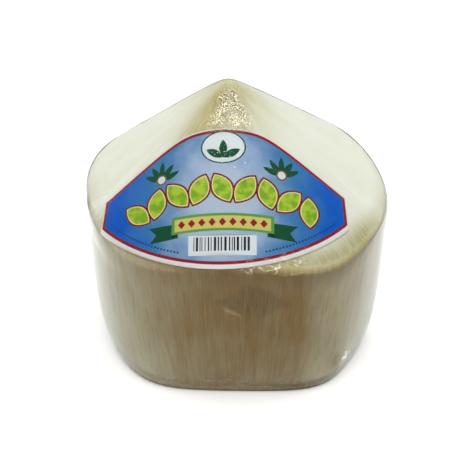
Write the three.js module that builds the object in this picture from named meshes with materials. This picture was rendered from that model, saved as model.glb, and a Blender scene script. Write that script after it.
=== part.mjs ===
// Young coconut, pared of its green skin for sale: a drum of white husk with a pointed top and a
// flat foot, a printed label lying on the cone, and a clear wrap drawn tight over both.
// Millimetres, +Z up, origin on the flat foot straight below the heart, label side towards -Y.

import * as THREE from 'three';
import { mergeVertices } from 'three/addons/utils/BufferGeometryUtils.js';

// ---- Driving dimensions -------------------------------------------------------------------

const TIP_HEIGHT = 120.5;             // where the cone cuts would meet, above the foot
const HEART_HEIGHT = 44;              // point inside the nut that every cut is measured from

// Seven near-vertical knife cuts, unevenly spread, make the side. The first faces the front, the
// rest follow anticlockwise, and all lean out towards the top by the taper. The corners between
// them are round under the shoulder and get crisper towards the foot.
const SIDE_CUTS = {
  turns: [-90.9, -26, 29.3, 82.1, 137, 178.9, 213],
  distances: [65.4, 67.7, 55, 64, 66.4, 63, 68],
  taper: 6.2,
  sharpnessHigh: 5.5,
  sharpnessLow: 9.4,
  highRise: 0.5,                      // rise of a unit direction where the corners are roundest
  lowRise: -0.6,                      // and where they are crispest
};

// The top is turned to a cone that leans slightly to the front.
const CONE_CUT = { slope: 37.7, lean: [-0.03, -0.079], tipRound: 0.05, sharpness: 50 };

// A steep chamfer runs round the foot, cut deeper towards the back.
const CHAMFER = { rise: 12.5, reach: 2.7, deeper: [-0.005, 0.03], sharpness: 60 };
const FOOT_RADIUS = 52;               // typical, for setting the chamfer out

// Label, laid flat: x across it, y = 0 at the tip of the cone and negative down the cone.
const LABEL = {
  halfWidth: 52.9,
  top: -23,
  shoulderX: 16.2,
  shoulderRound: 8.4,
  shoulderSlope: 0.67,
  bottomRadius: 77.8,
  bottomCentre: -5.8,
  shift: -3.1,
  turn: 1.4,
  thickness: 0.6,
};

const WRAP = {
  clearance: 0.6,                     // off the husk, along a line from the heart
  thickness: 0.75,                    // along the same line
  hemHeight: 1.8,                     // the gathered hem stops this far up the chamfer
  labelLift: 1.8,                     // extra room over the label
  tentFrom: 5,                        // the wrap leaves the label level this far past its edge
  tentTo: 24,                         // and is back on the husk here
  labelSharpness: 120,                // it bridges the rounded shoulder below the label
};

const LABEL_GAP = 0.4;                // clearance of the label off the cone

// Mesh rows from the tip to the shoulder, to the lower rim, to the foot and across the foot.
// Rows crowd towards both ends of each stretch by the share given.
const MERIDIANS = 64;
const ROWS = { cone: 10, side: 9, chamfer: 3, foot: 2 };
const CROWDING = 0.6;
const LABEL_GRID = [36, 9];
const MERGE_WITHIN = 1e-5;

// ---- The cuts -----------------------------------------------------------------------------

const degrees = THREE.MathUtils.degToRad;
const heart = new THREE.Vector3(0, 0, HEART_HEIGHT);
const coneAxis = new THREE.Vector3(...CONE_CUT.lean, 1).normalize();
const coneSlope = degrees(CONE_CUT.slope);
const coneReach = TIP_HEIGHT - HEART_HEIGHT;

// The chamfer is a blend of the side and foot cuts, weighted to meet each where it should.
const rimShare = 1 - CHAMFER.rise / HEART_HEIGHT;
const footShare = 1 - CHAMFER.reach / FOOT_RADIUS;
const sideWeight = (1 - rimShare) / (1 - rimShare * footShare);
const footWeight = 1 - footShare * sideWeight;

// Each cut below gives one over the distance from the heart to that cut along a unit direction.

function sideCut(direction) {
  const taper = degrees(SIDE_CUTS.taper);
  const lowness = 1 - THREE.MathUtils.smoothstep(direction.z, SIDE_CUTS.lowRise, SIDE_CUTS.highRise);
  const sharpness = THREE.MathUtils.lerp(SIDE_CUTS.sharpnessHigh, SIDE_CUTS.sharpnessLow, lowness);
  let sum = 0;
  SIDE_CUTS.distances.forEach((distance, index) => {
    const turn = degrees(SIDE_CUTS.turns[index]);
    const across = direction.x * Math.cos(turn) + direction.y * Math.sin(turn);
    const along = across * Math.cos(taper) - direction.z * Math.sin(taper);
    sum += (Math.max(along, 0) / distance) ** sharpness;
  });
  return sum ** (1 / sharpness);
}

function coneCut(direction) {
  const along = direction.dot(coneAxis);
  const aside = Math.sqrt(Math.max(1 - along ** 2, 0) + (CONE_CUT.tipRound * along) ** 2);
  const distance = coneReach * Math.cos(coneSlope);
  return Math.max((Math.cos(coneSlope) * along + Math.sin(coneSlope) * aside) / distance, 0);
}

function chamferCut(direction) {
  const [deeperX, deeperY] = CHAMFER.deeper;
  const blend = sideWeight * sideCut(direction) + footWeight * footCut(direction);
  return blend * (1 + deeperX * direction.x + deeperY * direction.y);
}

function footCut(direction) {
  return Math.max(-direction.z / HEART_HEIGHT, 0);
}

// Cuts meet in rounded edges. Only the edge of the foot is sharp.
function huskRadius(direction, high = CONE_CUT.sharpness) {
  const upper = (sideCut(direction) ** high + coneCut(direction) ** high) ** (1 / high);
  const low = CHAMFER.sharpness;
  const pared = (upper ** low + chamferCut(direction) ** low) ** (1 / low);
  return 1 / Math.max(pared, footCut(direction));
}

// ---- A mesh whose rows run along the edges of the cuts ---------------------------------------

// Directions fan out from the heart. Overhead, they lean with the cone to meet its tip.
function directionAt(height, turn) {
  const flat = Math.cos(height);
  const rise = Math.sin(height);
  const lean = Math.max(rise, 0) ** 2;
  return new THREE.Vector3(
    flat * Math.cos(turn) + lean * CONE_CUT.lean[0],
    flat * Math.sin(turn) + lean * CONE_CUT.lean[1],
    rise,
  ).normalize();
}

// The angle above the heart, between low and high, where isAbove turns from false to true.
function findEdge(turn, low, high, isAbove) {
  const halvings = 40;
  for (let step = 0; step < halvings; step++) {
    const middle = (low + high) / 2;
    if (isAbove(directionAt(middle, turn))) high = middle;
    else low = middle;
  }
  return (low + high) / 2;
}

function edgesAt(turn) {
  const top = Math.PI / 2;
  const shoulder = findEdge(turn, 0, top, (way) => coneCut(way) > sideCut(way));
  const rim = findEdge(turn, -top, 0, (way) => sideCut(way) > chamferCut(way));
  const heightOf = (way) => HEART_HEIGHT + way.z * huskRadius(way);
  const foot = findEdge(turn, -top, rim, (way) => heightOf(way) > MERGE_WITHIN);
  const hem = findEdge(turn, foot, rim, (way) => heightOf(way) > WRAP.hemHeight);
  return { top, shoulder, rim, foot, hem, bottom: -top };
}

const edges = [];
for (let step = 0; step < MERIDIANS; step++) {
  edges.push(edgesAt(step / MERIDIANS * 2 * Math.PI));
}

function crowd(share) {
  return THREE.MathUtils.lerp(share, THREE.MathUtils.smoothstep(share, 0, 1), CROWDING);
}

// stretches: [from, to, rows] triples of edge names. Returns the angle of every row.
function rowHeights(edge, stretches) {
  const heights = [edge[stretches[0][0]]];
  for (const [from, to, rows] of stretches) {
    for (let row = 1; row <= rows; row++) {
      heights.push(THREE.MathUtils.lerp(edge[from], edge[to], crowd(row / rows)));
    }
  }
  return heights;
}

// A closed body with the mesh of a globe. place(row, step) gives each crossing's point.
function globeBody(rows, place) {
  const geometry = new THREE.SphereGeometry(1, MERIDIANS, rows);
  const position = geometry.getAttribute('position');
  for (let row = 0; row <= rows; row++) {
    for (let step = 0; step <= MERIDIANS; step++) {
      const point = place(row, step % MERIDIANS);
      position.setXYZ(row * (MERIDIANS + 1) + step, point.x, point.y, point.z);
    }
  }
  return bareMesh(geometry);
}

function bareMesh(geometry) {
  geometry.deleteAttribute('normal');
  geometry.deleteAttribute('uv');
  return mergeVertices(geometry, MERGE_WITHIN);
}

// ---- Husk -----------------------------------------------------------------------------------

function huskGeometry() {
  const stretches = [
    ['top', 'shoulder', ROWS.cone],
    ['shoulder', 'rim', ROWS.side],
    ['rim', 'foot', ROWS.chamfer],
    ['foot', 'bottom', ROWS.foot],
  ];
  const footRow = ROWS.cone + ROWS.side + ROWS.chamfer;
  return globeBody(footRow + ROWS.foot, (row, step) => {
    const height = rowHeights(edges[step], stretches)[row];
    const direction = directionAt(height, turnAt(height, step));
    const point = direction.multiplyScalar(huskRadius(direction)).add(heart);
    if (row >= footRow) point.z = 0;
    return point;
  });
}

// Every meridian meets the poles in the same point, so the turn is dropped there.
function turnAt(height, step) {
  const atPole = Math.cos(height) < MERGE_WITHIN;
  return atPole ? 0 : step / MERIDIANS * 2 * Math.PI;
}

// ---- Label ----------------------------------------------------------------------------------

const frontWay = new THREE.Vector3(0, -1, 0).projectOnPlane(coneAxis).normalize();
const rightWay = new THREE.Vector3().crossVectors(frontWay, coneAxis).negate();
const coneTip = heart.clone().addScaledVector(coneAxis, coneReach);

function labelTop(x) {
  const past = Math.abs(x) - LABEL.shoulderX;
  const fall = (past + Math.hypot(past, LABEL.shoulderRound)) / 2;
  return LABEL.top - LABEL.shoulderSlope * fall;
}

function labelBottom(x) {
  return LABEL.bottomCentre - Math.sqrt(Math.max(LABEL.bottomRadius ** 2 - x ** 2, 0));
}

// Rolls a point of the flat sheet onto the cone, at a height above it.
function rollOntoCone(x, y, height) {
  const turned = new THREE.Vector2(x, y).rotateAround(labelMiddle, -degrees(LABEL.turn));
  turned.x += LABEL.shift;
  const down = turned.length();
  const around = Math.atan2(turned.x, -turned.y) / Math.cos(coneSlope);
  const outward = frontWay.clone().multiplyScalar(Math.cos(around))
    .addScaledVector(rightWay, Math.sin(around));
  return coneTip.clone()
    .addScaledVector(outward, down * Math.cos(coneSlope) + height * Math.sin(coneSlope))
    .addScaledVector(coneAxis, height * Math.cos(coneSlope) - down * Math.sin(coneSlope));
}

const labelMiddle = new THREE.Vector2(0, (labelTop(0) + labelBottom(0)) / 2);

function labelGeometry() {
  const geometry = new THREE.BoxGeometry(1, 1, 1, ...LABEL_GRID, 1);
  const position = geometry.getAttribute('position');
  for (let index = 0; index < position.count; index++) {
    const x = position.getX(index) * 2 * LABEL.halfWidth;
    const share = position.getY(index) + 0.5;
    const y = THREE.MathUtils.lerp(labelBottom(x), labelTop(x), share);
    const height = LABEL_GAP + (position.getZ(index) + 0.5) * LABEL.thickness;
    const point = rollOntoCone(x, y, height);
    position.setXYZ(index, point.x, point.y, point.z);
  }
  return bareMesh(geometry);
}

// ---- Clear wrap -----------------------------------------------------------------------------

// How far outside the label's outline a direction from the heart passes, measured on the flat
// sheet. Negative over the label.
function pastLabel(direction) {
  const along = direction.dot(coneAxis);
  const aside = direction.clone().projectOnPlane(coneAxis);
  const reach = coneReach * Math.cos(coneSlope)
    / (Math.cos(coneSlope) * along + Math.sin(coneSlope) * aside.length());
  if (!(reach > 0)) return Infinity;
  const down = reach * aside.length() / Math.cos(coneSlope);
  const around = Math.atan2(aside.dot(rightWay), aside.dot(frontWay)) * Math.cos(coneSlope);
  const sheet = new THREE.Vector2(down * Math.sin(around) - LABEL.shift, -down * Math.cos(around));
  sheet.rotateAround(labelMiddle, degrees(LABEL.turn));
  return Math.max(
    Math.abs(sheet.x) - LABEL.halfWidth,
    sheet.y - labelTop(sheet.x),
    labelBottom(sheet.x) - sheet.y,
  );
}

function wrapRadius(direction) {
  const husk = huskRadius(direction);
  const bridge = huskRadius(direction, WRAP.labelSharpness);
  const over = 1 - THREE.MathUtils.smoothstep(pastLabel(direction), WRAP.tentFrom, WRAP.tentTo);
  return husk + WRAP.clearance + over * (bridge - husk + WRAP.labelLift);
}

// The skin runs down its outside from the tip to the hem, then back up its inside.
function wrapGeometry() {
  const stretches = [
    ['top', 'shoulder', ROWS.cone],
    ['shoulder', 'rim', ROWS.side],
    ['rim', 'hem', ROWS.chamfer],
  ];
  const hemRow = ROWS.cone + ROWS.side + ROWS.chamfer;
  return globeBody(2 * hemRow + 1, (row, step) => {
    const isOutside = row <= hemRow;
    const height = rowHeights(edges[step], stretches)[isOutside ? row : 2 * hemRow + 1 - row];
    const direction = directionAt(height, turnAt(height, step));
    const radius = wrapRadius(direction) + (isOutside ? WRAP.thickness : 0);
    return direction.multiplyScalar(radius).add(heart);
  });
}

// ---- Assembly -------------------------------------------------------------------------------

function addPiece(name, geometry, finish) {
  const piece = new THREE.Mesh(geometry, new THREE.MeshStandardMaterial(finish));
  piece.name = name;
  coconut.add(piece);
}

const coconut = new THREE.Group();
addPiece('husk', huskGeometry(), { color: 0xd9d2b4, roughness: 0.75, metalness: 0 });
addPiece('label', labelGeometry(), { color: 0x2f6fb8, roughness: 0.4, metalness: 0 });
addPiece('wrap', wrapGeometry(), {
  color: 0xffffff, roughness: 0.1, metalness: 0, transparent: true, opacity: 0.3,
});

export default coconut;
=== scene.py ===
"""Young coconut, pared of its green skin and wrapped for sale. Lengths are in millimetres up to
the point where a mesh, finish, light or camera is made, and MM then turns them into metres."""

import itertools
import math

import bpy
import numpy as np
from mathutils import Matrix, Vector
from mathutils.geometry import delaunay_2d_cdt


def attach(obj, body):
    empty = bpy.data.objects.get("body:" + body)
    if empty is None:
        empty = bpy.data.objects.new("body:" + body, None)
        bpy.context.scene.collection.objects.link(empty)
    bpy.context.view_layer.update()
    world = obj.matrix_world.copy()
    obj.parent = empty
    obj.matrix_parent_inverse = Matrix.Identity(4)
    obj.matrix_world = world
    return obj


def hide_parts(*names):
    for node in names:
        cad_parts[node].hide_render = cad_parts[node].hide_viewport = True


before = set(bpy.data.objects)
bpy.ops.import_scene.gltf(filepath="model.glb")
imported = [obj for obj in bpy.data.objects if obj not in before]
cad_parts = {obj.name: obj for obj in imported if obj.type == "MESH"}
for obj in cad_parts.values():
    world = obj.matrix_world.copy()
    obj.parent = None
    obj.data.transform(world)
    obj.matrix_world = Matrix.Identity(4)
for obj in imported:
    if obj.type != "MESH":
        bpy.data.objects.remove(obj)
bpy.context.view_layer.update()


# ---- Husk -----------------------------------------------------------------------------------
# The nut's thick coat of wet white fibre, in one piece. A knife has pared off the green skin in
# seven upright cuts, shaped the top to a cone and trimmed the foot flat, so the cut fibres run
# as streaks down every face and fray along the edges.

MM = 0.001
HEART = np.array([0, 0, 44.0])  # the point inside that every cut is measured from
CUT_TURNS = np.radians([-90.9, -26, 29.3, 82.1, 137, 178.9, 213])
CUT_DISTANCES = [65.4, 67.7, 55, 64, 66.4, 63, 68]
CUT_TAPER = math.radians(6.2)  # the upright cuts lean in towards the foot
CORNERS_HIGH = 5.5  # corners between the cuts are round high up
CORNERS_LOW = 9.4  # and crisper low down
ROUND_RISE, CRISP_RISE = 0.5, -0.6  # the rise of the directions where either is reached
TIP_HEIGHT = 120.5  # of the sharp cone, before its tip is rounded
TIP_ROUND = 0.05
CONE_SLOPE = math.radians(37.7)
CONE_LEAN = np.array([-0.03, -0.079, 1])
SHOULDER_SHARPNESS = 50
CHAMFER_RISE = 12.5  # how far the chamfer comes up the side
CHAMFER_REACH = 2.7  # and how far it comes in on the foot
CHAMFER_SHARPNESS = 60
CHAMFER_DEEPER = np.array([-0.005, 0.03, 0])
FOOT_RADIUS = 52
GIRTH_RADIUS = 60  # where the streaks have their true width
FIBRE_SLANT = 0.11
HUSK_STEPS = 640  # mesh points round the nut
HUSK_ROWS = {"cone": 56, "side": 62, "chamfer": 18, "foot": 8}
ROW_CROWDING = 0.5
EDGE_HALVINGS = 40  # how often the search for an edge halves its stretch
FOOT_TOUCH = 1e-5  # a height that still counts as the flat foot

cone_axis = CONE_LEAN / np.linalg.norm(CONE_LEAN)
cone_reach = TIP_HEIGHT - HEART[2]
rim_share = 1 - CHAMFER_RISE / HEART[2]
foot_share = 1 - CHAMFER_REACH / FOOT_RADIUS
side_weight = (1 - rim_share) / (1 - rim_share * foot_share)
foot_weight = 1 - foot_share * side_weight


def smooth(share):
    """Eases a share from 0 to 1, and holds it there outside that stretch."""
    share = np.clip(share, 0, 1)
    return share * share * (3 - 2 * share)


def hill(distance, width):
    return np.exp(-(distance / width) ** 2)


def unit(vectors):
    return vectors / np.linalg.norm(vectors, axis=-1, keepdims=True)


# Each cut gives one over the distance from the heart to that cut, along unit directions.
def side_cut(way):
    lowness = smooth((ROUND_RISE - way[..., 2]) / (ROUND_RISE - CRISP_RISE))
    sharpness = CORNERS_HIGH + (CORNERS_LOW - CORNERS_HIGH) * lowness
    total = 0
    for turn, distance in zip(CUT_TURNS, CUT_DISTANCES):
        across = way[..., 0] * math.cos(turn) + way[..., 1] * math.sin(turn)
        along = across * math.cos(CUT_TAPER) - way[..., 2] * math.sin(CUT_TAPER)
        total = total + (np.maximum(along, 0) / distance) ** sharpness
    return total ** (1 / sharpness)


def cone_cut(way):
    along = way @ cone_axis
    aside = np.sqrt(np.maximum(1 - along ** 2, 0) + (TIP_ROUND * along) ** 2)
    distance = cone_reach * math.cos(CONE_SLOPE)
    lean = math.cos(CONE_SLOPE) * along + math.sin(CONE_SLOPE) * aside
    return np.maximum(lean / distance, 0)


def foot_cut(way):
    return np.maximum(-way[..., 2] / HEART[2], 0)


def chamfer_cut(way):
    blend = side_weight * side_cut(way) + foot_weight * foot_cut(way)
    return blend * (1 + way @ CHAMFER_DEEPER)


def husk_radius(way, sharpness=SHOULDER_SHARPNESS):
    upper = (side_cut(way) ** sharpness + cone_cut(way) ** sharpness) ** (1 / sharpness)
    low = CHAMFER_SHARPNESS
    pared = (upper ** low + chamfer_cut(way) ** low) ** (1 / low)
    return 1 / np.maximum(pared, foot_cut(way))


def way_at(height, turn):
    """Unit direction from the heart, leaning with the cone towards the top."""
    rise = np.sin(height)
    lean = np.maximum(rise, 0) ** 2
    across = np.cos(height) * np.cos(turn) + lean * CONE_LEAN[0]
    deep = np.cos(height) * np.sin(turn) + lean * CONE_LEAN[1]
    return unit(np.stack([across, deep, rise], axis=-1))


def surface_height(way):
    return HEART[2] + way[..., 2] * husk_radius(way)


def find_edge(turns, low, high, is_above):
    """The angle above the heart, on each meridian, where is_above turns true."""
    low, high = low + 0 * turns, high + 0 * turns
    for _ in range(EDGE_HALVINGS):
        middle = (low + high) / 2
        above = is_above(way_at(middle, turns))
        low, high = np.where(above, low, middle), np.where(above, middle, high)
    return low


def find_edges(turns):
    top = math.pi / 2
    rim = find_edge(turns, -top, 0, lambda way: side_cut(way) > chamfer_cut(way))
    return {
        "tip": top + 0 * turns,
        "shoulder": find_edge(turns, 0, top, lambda way: cone_cut(way) > side_cut(way)),
        "rim": rim,
        "foot": find_edge(turns, -top, rim, lambda way: surface_height(way) > FOOT_TOUCH),
        "bottom": -top + 0 * turns,
    }


def lay_rows(edges, stretches):
    """Angles of mesh rows between named edges, closer together near the edges."""
    rows = [edges[stretches[0][0]]]
    for start, end, count in stretches:
        for share in np.arange(1, count + 1) / count:
            share += ROW_CROWDING * (smooth(share) - share)
            rows.append(edges[start] + (edges[end] - edges[start]) * share)
    return np.array(rows)


def strand_places(points, turns, zero_row):
    """Round the girth and along the fibre: places that streak noise is read at."""
    steps = np.linalg.norm(np.diff(points, axis=0), axis=-1)
    along = np.concatenate([np.zeros((1, points.shape[1])), np.cumsum(steps, axis=0)])
    along = along[zero_row] - along
    slant = -FIBRE_SLANT * np.sin(2 * (turns - CUT_TURNS[0]))
    around = turns + slant * np.minimum(along, 0) / GIRTH_RADIUS
    return np.stack([
        GIRTH_RADIUS * np.cos(around), GIRTH_RADIUS * np.sin(around), along,
    ], axis=-1)


husk_turns = np.arange(HUSK_STEPS) / HUSK_STEPS * math.tau
husk_heights = lay_rows(find_edges(husk_turns), [
    ("tip", "shoulder", HUSK_ROWS["cone"]),
    ("shoulder", "rim", HUSK_ROWS["side"]),
    ("rim", "foot", HUSK_ROWS["chamfer"]),
    ("foot", "bottom", HUSK_ROWS["foot"]),
])
shoulder_row = HUSK_ROWS["cone"]
rim_row = shoulder_row + HUSK_ROWS["side"]
foot_row = rim_row + HUSK_ROWS["chamfer"]
husk_ways = way_at(husk_heights, husk_turns)
husk_points = HEART + husk_ways * husk_radius(husk_ways)[..., None]
strands = strand_places(husk_points, husk_turns, shoulder_row)
above_shoulder = strands[..., 2]
above_rim = above_shoulder - above_shoulder[rim_row]
# Shares of the side, and of the chamfer with the foot, which fade over a few millimetres.
is_side = smooth(-above_shoulder / 3) * smooth(above_rim / 2)
is_low = smooth(0.5 - above_rim / 2)

GROWTH_SEED = 23
LATTICE_SIDE = 32
seeded = np.random.default_rng(GROWTH_SEED)
lattice = seeded.uniform(-1, 1, (LATTICE_SIDE, LATTICE_SIDE, LATTICE_SIDE))


def unevenness(points, step, lengthwise=None, shift=0):
    """Smooth seeded noise from -1 to 1, one swell per step, drawn out along the fibres. Another
    shift gives another pattern."""
    spot = (points + shift) / np.array([step, step, lengthwise or step])
    cell = np.floor(spot).astype(int)
    share = smooth(spot - cell)
    total = 0
    for corner in itertools.product((0, 1), repeat=3):
        weight = np.prod(np.where(corner, share, 1 - share), axis=-1)
        spots = (cell + corner) % LATTICE_SIDE
        total = total + weight * lattice[spots[..., 0], spots[..., 1], spots[..., 2]]
    return total


def ragged(amount, step, shift):
    """A strength about 1 that wavers by amount from place to place on the husk."""
    return 1 - amount + amount * unevenness(strands, step, shift=shift)


def turn_from(turns, middle):
    """Signed angle from a middle turn, the short way round."""
    return (turns - middle + math.pi) % math.tau - math.pi


# How brown the cut side is by turn round the nut: browned by sun and air, with painted shade at the
# front and painted sheen to both sides.
BROWN_TURNS = np.radians([-150, -138, -120, -100, -67, -61, -30, 0, 34, 60, 85, 112, 150])
BROWNING_AND_SHADE = [0.1, 0.36, 0.6, 1.0, 1.0, 0.64, 0.38, 0.12, 0.3, 0.42, 0.7, 0.5, 0.2]
browning_and_shade = np.interp(husk_turns, BROWN_TURNS, BROWNING_AND_SHADE, period=math.tau)

# A scar in the shape of a ragged diamond, sunk a little into the side.
SCAR_TURN = math.radians(-83)
SCAR_RISE = -16.5  # its middle, measured up from the shoulder
SCAR_WIDTH, SCAR_HEIGHT, SCAR_DEPTH = 15, 9.5, 0.45
SCAR_CORE, SCAR_EDGE, SCAR_RAGGEDNESS = 0.82, 0.2, 0.14
scar_x = GIRTH_RADIUS * turn_from(husk_turns, SCAR_TURN)
scar_y = above_shoulder - SCAR_RISE
scar_reach = abs(scar_x / SCAR_WIDTH) + abs(scar_y / SCAR_HEIGHT)
scar_reach += SCAR_RAGGEDNESS * unevenness(strands, 3, 4, shift=61)
scar = 1 - smooth((scar_reach - SCAR_CORE) / SCAR_EDGE)

# A pale scratch that slants past the lower left of the scar.
SCRATCH_SLOPE, SCRATCH_DROP, SCRATCH_WIDTH = 0.55, 9.5, 0.7
SCRATCH_LEFT, SCRATCH_RIGHT = -12, -3
scratch = hill(scar_y + SCRATCH_SLOPE * scar_x + SCRATCH_DROP, SCRATCH_WIDTH)
scratch = scratch * smooth((scar_x - SCRATCH_LEFT) / 3) * smooth(-(scar_x - SCRATCH_RIGHT) / 4)

# A grazed patch low on the right, just above the chamfer.
GRAZE_TURN = math.radians(-51)
GRAZE_RISE, GRAZE_LEAN = 4, 0.3
GRAZE_WIDTH, GRAZE_HEIGHT = 3.5, 6.5
above_graze = above_rim - GRAZE_RISE
graze_x = GIRTH_RADIUS * turn_from(husk_turns, GRAZE_TURN)
graze = hill(graze_x + GRAZE_LEAN * above_graze, GRAZE_WIDTH)
graze *= hill(above_graze, GRAZE_HEIGHT) * ragged(0.25, 2, shift=45)

# Darker along the edge of the foot, most at the front right.
DARKER_EDGE_TURN, DARKER_EDGE_SPREAD = math.radians(-62), 0.28
DARKER_EDGE_HEIGHT = 3
darker_foot_edge = hill(turn_from(husk_turns, DARKER_EDGE_TURN), DARKER_EDGE_SPREAD) * ragged(0.2, 4, shift=17)
darker_foot_edge = darker_foot_edge * smooth(1 - (husk_points[..., 2] - DARKER_EDGE_HEIGHT) / DARKER_EDGE_HEIGHT)

# A stain of olive, high on the front left of the cone.
STAIN_TURN, STAIN_SPREAD = math.radians(-120), 0.45
STAIN_LOW, STAIN_HIGH = 38, 84
stain_ends = smooth((above_shoulder - STAIN_LOW) / 14) * smooth((STAIN_HIGH - above_shoulder) / 10)
stain = hill(turn_from(husk_turns, STAIN_TURN), STAIN_SPREAD) * stain_ends

# How strongly olive skin is left in a band along the shoulder, most of it at the front right.
BAND_TURN = math.radians(-52)
BAND_SPREAD_LEFT, BAND_SPREAD_RIGHT = 1.0, 0.5
BAND_LEAST = 0.15
past_band = turn_from(husk_turns, BAND_TURN)
band_spread = np.where(past_band < 0, BAND_SPREAD_LEFT, BAND_SPREAD_RIGHT)
band = BAND_LEAST + (1 - BAND_LEAST) * hill(past_band, band_spread)

# At the front left the brown of the side comes up over the shoulder.
LIP_TURN, LIP_SPREAD, LIP_RISE = math.radians(-118), 0.5, 5.5
lip = LIP_RISE * hill(turn_from(husk_turns, LIP_TURN), LIP_SPREAD)

# Every knife stroke hollows the cone a little, and leaves faint ridges from tip to shoulder.
CONE_STROKES, STROKE_UNEVEN, STROKE_DEPTH = 13, 0.3, 0.3
stroke_shift = seeded.uniform(-STROKE_UNEVEN, STROKE_UNEVEN, CONE_STROKES)
ridges = (np.arange(CONE_STROKES) + stroke_shift) / CONE_STROKES
stroke_spot = np.interp(
    (husk_turns / math.tau - ridges[0]) % 1, np.append(ridges - ridges[0], 1),
    np.arange(CONE_STROKES + 1),
)
stroke_share = stroke_spot % 1
stroke = 4 * stroke_share * (1 - stroke_share) * smooth(above_shoulder / 12)
stroke *= smooth((80 - above_shoulder) / 30)

# Layers of unevenness: depth, width round the nut, length along the fibres, and shift.
KNIFE_WAVES = [(0.22, 13, 34, 0), (0.12, 5, 26, 50)]
FIBRES = [(0.09, 1.3, 12, 9), (0.05, 0.8, 6, 31)]
FRAYED_ENDS = [(1.0, 1.4, 1.1, 70), (0.6, 0.7, 2.4, 90)]


def layered(layers):
    return sum(depth * unevenness(strands, *pattern) for depth, *pattern in layers)


# Depths of what else stands out or sinks in, from the form that the cuts give.
SHOULDER_FRAY, RIM_FRAY = 0.26, 0.14
CHAMFER_ROUGHNESS = 0.1
SIDE_HOLLOW = 0.5  # the wall sinks in a little below the shoulder
SCRATCH_LIFT = 0.25
RELIEF_LEAST, RELIEF_MOST = -0.9, 0.38
FOOT_RELIEF = 0.6
FOOT_HOLLOW = 0.12  # so that the nut stands on the edge of its foot
CALM_ENDS = 0.06  # relief dies out at the tip and the middle of the foot
rough_edge = SHOULDER_FRAY * hill(above_shoulder + 0.6, 1.9) + RIM_FRAY * hill(above_rim, 1.6)
hollow = smooth(-(above_shoulder + 1.5) / 4) * smooth(1 + (above_shoulder + 12) / 22)
husk_relief = layered(KNIFE_WAVES) * (0.5 + 0.5 * is_side)
husk_relief += layered(FIBRES) * (0.3 + 0.7 * is_side)
chamfer_relief = CHAMFER_ROUGHNESS * is_low * unevenness(strands, 1.7, shift=15)
husk_relief += rough_edge * layered(FRAYED_ENDS) + chamfer_relief
husk_relief -= SIDE_HOLLOW * hollow
husk_relief -= SCAR_DEPTH * scar * ragged(0.25, 2.2, shift=3)
husk_relief += SCRATCH_LIFT * scratch - STROKE_DEPTH * stroke
husk_relief = np.clip(husk_relief, RELIEF_LEAST, RELIEF_MOST)
husk_relief *= smooth(np.cos(husk_heights) / CALM_ENDS)
husk_relief[foot_row:] = np.minimum(husk_relief[foot_row:], 0) * FOOT_RELIEF
husk_relief[foot_row] = 0
husk_relief[foot_row + 1:] -= FOOT_HOLLOW
husk_points += husk_ways * husk_relief[..., None]
husk_points[..., 2] = np.maximum(husk_points[..., 2], 0)


def globe_faces(rings, steps, has_bottom):
    """Faces of rings of points, given from the top down after one top point."""
    ring = np.arange(steps)
    following = np.roll(ring, -1)
    faces = [(0, 1 + a, 1 + b) for a, b in zip(ring, following)]
    for row in range(rings - 1):
        upper, lower = 1 + row * steps, 1 + (row + 1) * steps
        faces += zip(upper + ring, lower + ring, lower + following, upper + following)
    if has_bottom:
        last, bottom = 1 + (rings - 1) * steps, 1 + rings * steps
        faces += [(last + b, last + a, bottom) for a, b in zip(ring, following)]
    return [tuple(int(corner) for corner in face) for face in faces]


def point_list(grid, has_bottom):
    """One point for the top row, the inner rows whole, and one point for a closed bottom."""
    rows = grid.reshape(grid.shape[0], grid.shape[1], -1)
    whole = rows[1:-1] if has_bottom else rows[1:]
    bottom = rows[-1, :1] if has_bottom else rows[-1, :0]
    return np.concatenate([rows[0, :1], whole.reshape(-1, rows.shape[-1]), bottom])


def add_piece(name, points, faces):
    mesh = bpy.data.meshes.new(name)
    mesh.from_pydata((np.asarray(points) * MM).tolist(), [], faces)
    mesh.shade_smooth()
    piece = bpy.data.objects.new(name, mesh)
    bpy.context.scene.collection.objects.link(piece)
    return piece


def store(piece, name, values):
    """Keeps a number or a place for every mesh point, which a finish reads by its name."""
    kind, field = ("FLOAT_VECTOR", "vector") if values.shape[1] == 3 else ("FLOAT", "value")
    kept = piece.data.attributes.new(name, kind, "POINT")
    kept.data.foreach_set(field, values.astype(np.float32).ravel())


husk = add_piece(
    "pared_husk", point_list(husk_points, has_bottom=True),
    globe_faces(len(husk_points) - 2, HUSK_STEPS, has_bottom=True),
)
husk_marks = {
    "browning_and_shade": browning_and_shade, "above_rim": above_rim, "scar": scar, "scratch": scratch,
    "graze": graze, "darker_foot_edge": darker_foot_edge, "stain": stain, "band": band, "lip": lip,
    "height": husk_points[..., 2], "inside_foot": above_shoulder[foot_row] - above_shoulder,
}
store(husk, "strand", point_list(strands, has_bottom=True))
for mark, values in husk_marks.items():
    grid = np.broadcast_to(values, above_shoulder.shape)
    store(husk, mark, point_list(grid, has_bottom=True))


def new_finish(name):
    finish = bpy.data.materials.new(name)
    finish.use_nodes = True
    finish.node_tree.nodes.clear()
    return finish


def node(finish, kind, inputs=None, **settings):
    """Adds a shader node. An input is another node's socket or a plain value."""
    made = finish.node_tree.nodes.new("ShaderNode" + kind)
    for name, value in settings.items():
        setattr(made, name, value)
    for name, value in (inputs or {}).items():
        if isinstance(value, bpy.types.NodeSocket):
            finish.node_tree.links.new(value, made.inputs[name])
        else:
            made.inputs[name].default_value = value
    return made


def stored(finish, name, output="Fac"):
    """What store kept under a name: Fac gives a number, and Vector a place."""
    return node(finish, "Attribute", attribute_name=name).outputs[output]


def strand_and_along(finish):
    """The place among the strands, and how far along them it is above the shoulder."""
    strand = stored(finish, "strand", "Vector")
    return strand, node(finish, "SeparateXYZ", {0: strand}).outputs["Z"]


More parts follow.
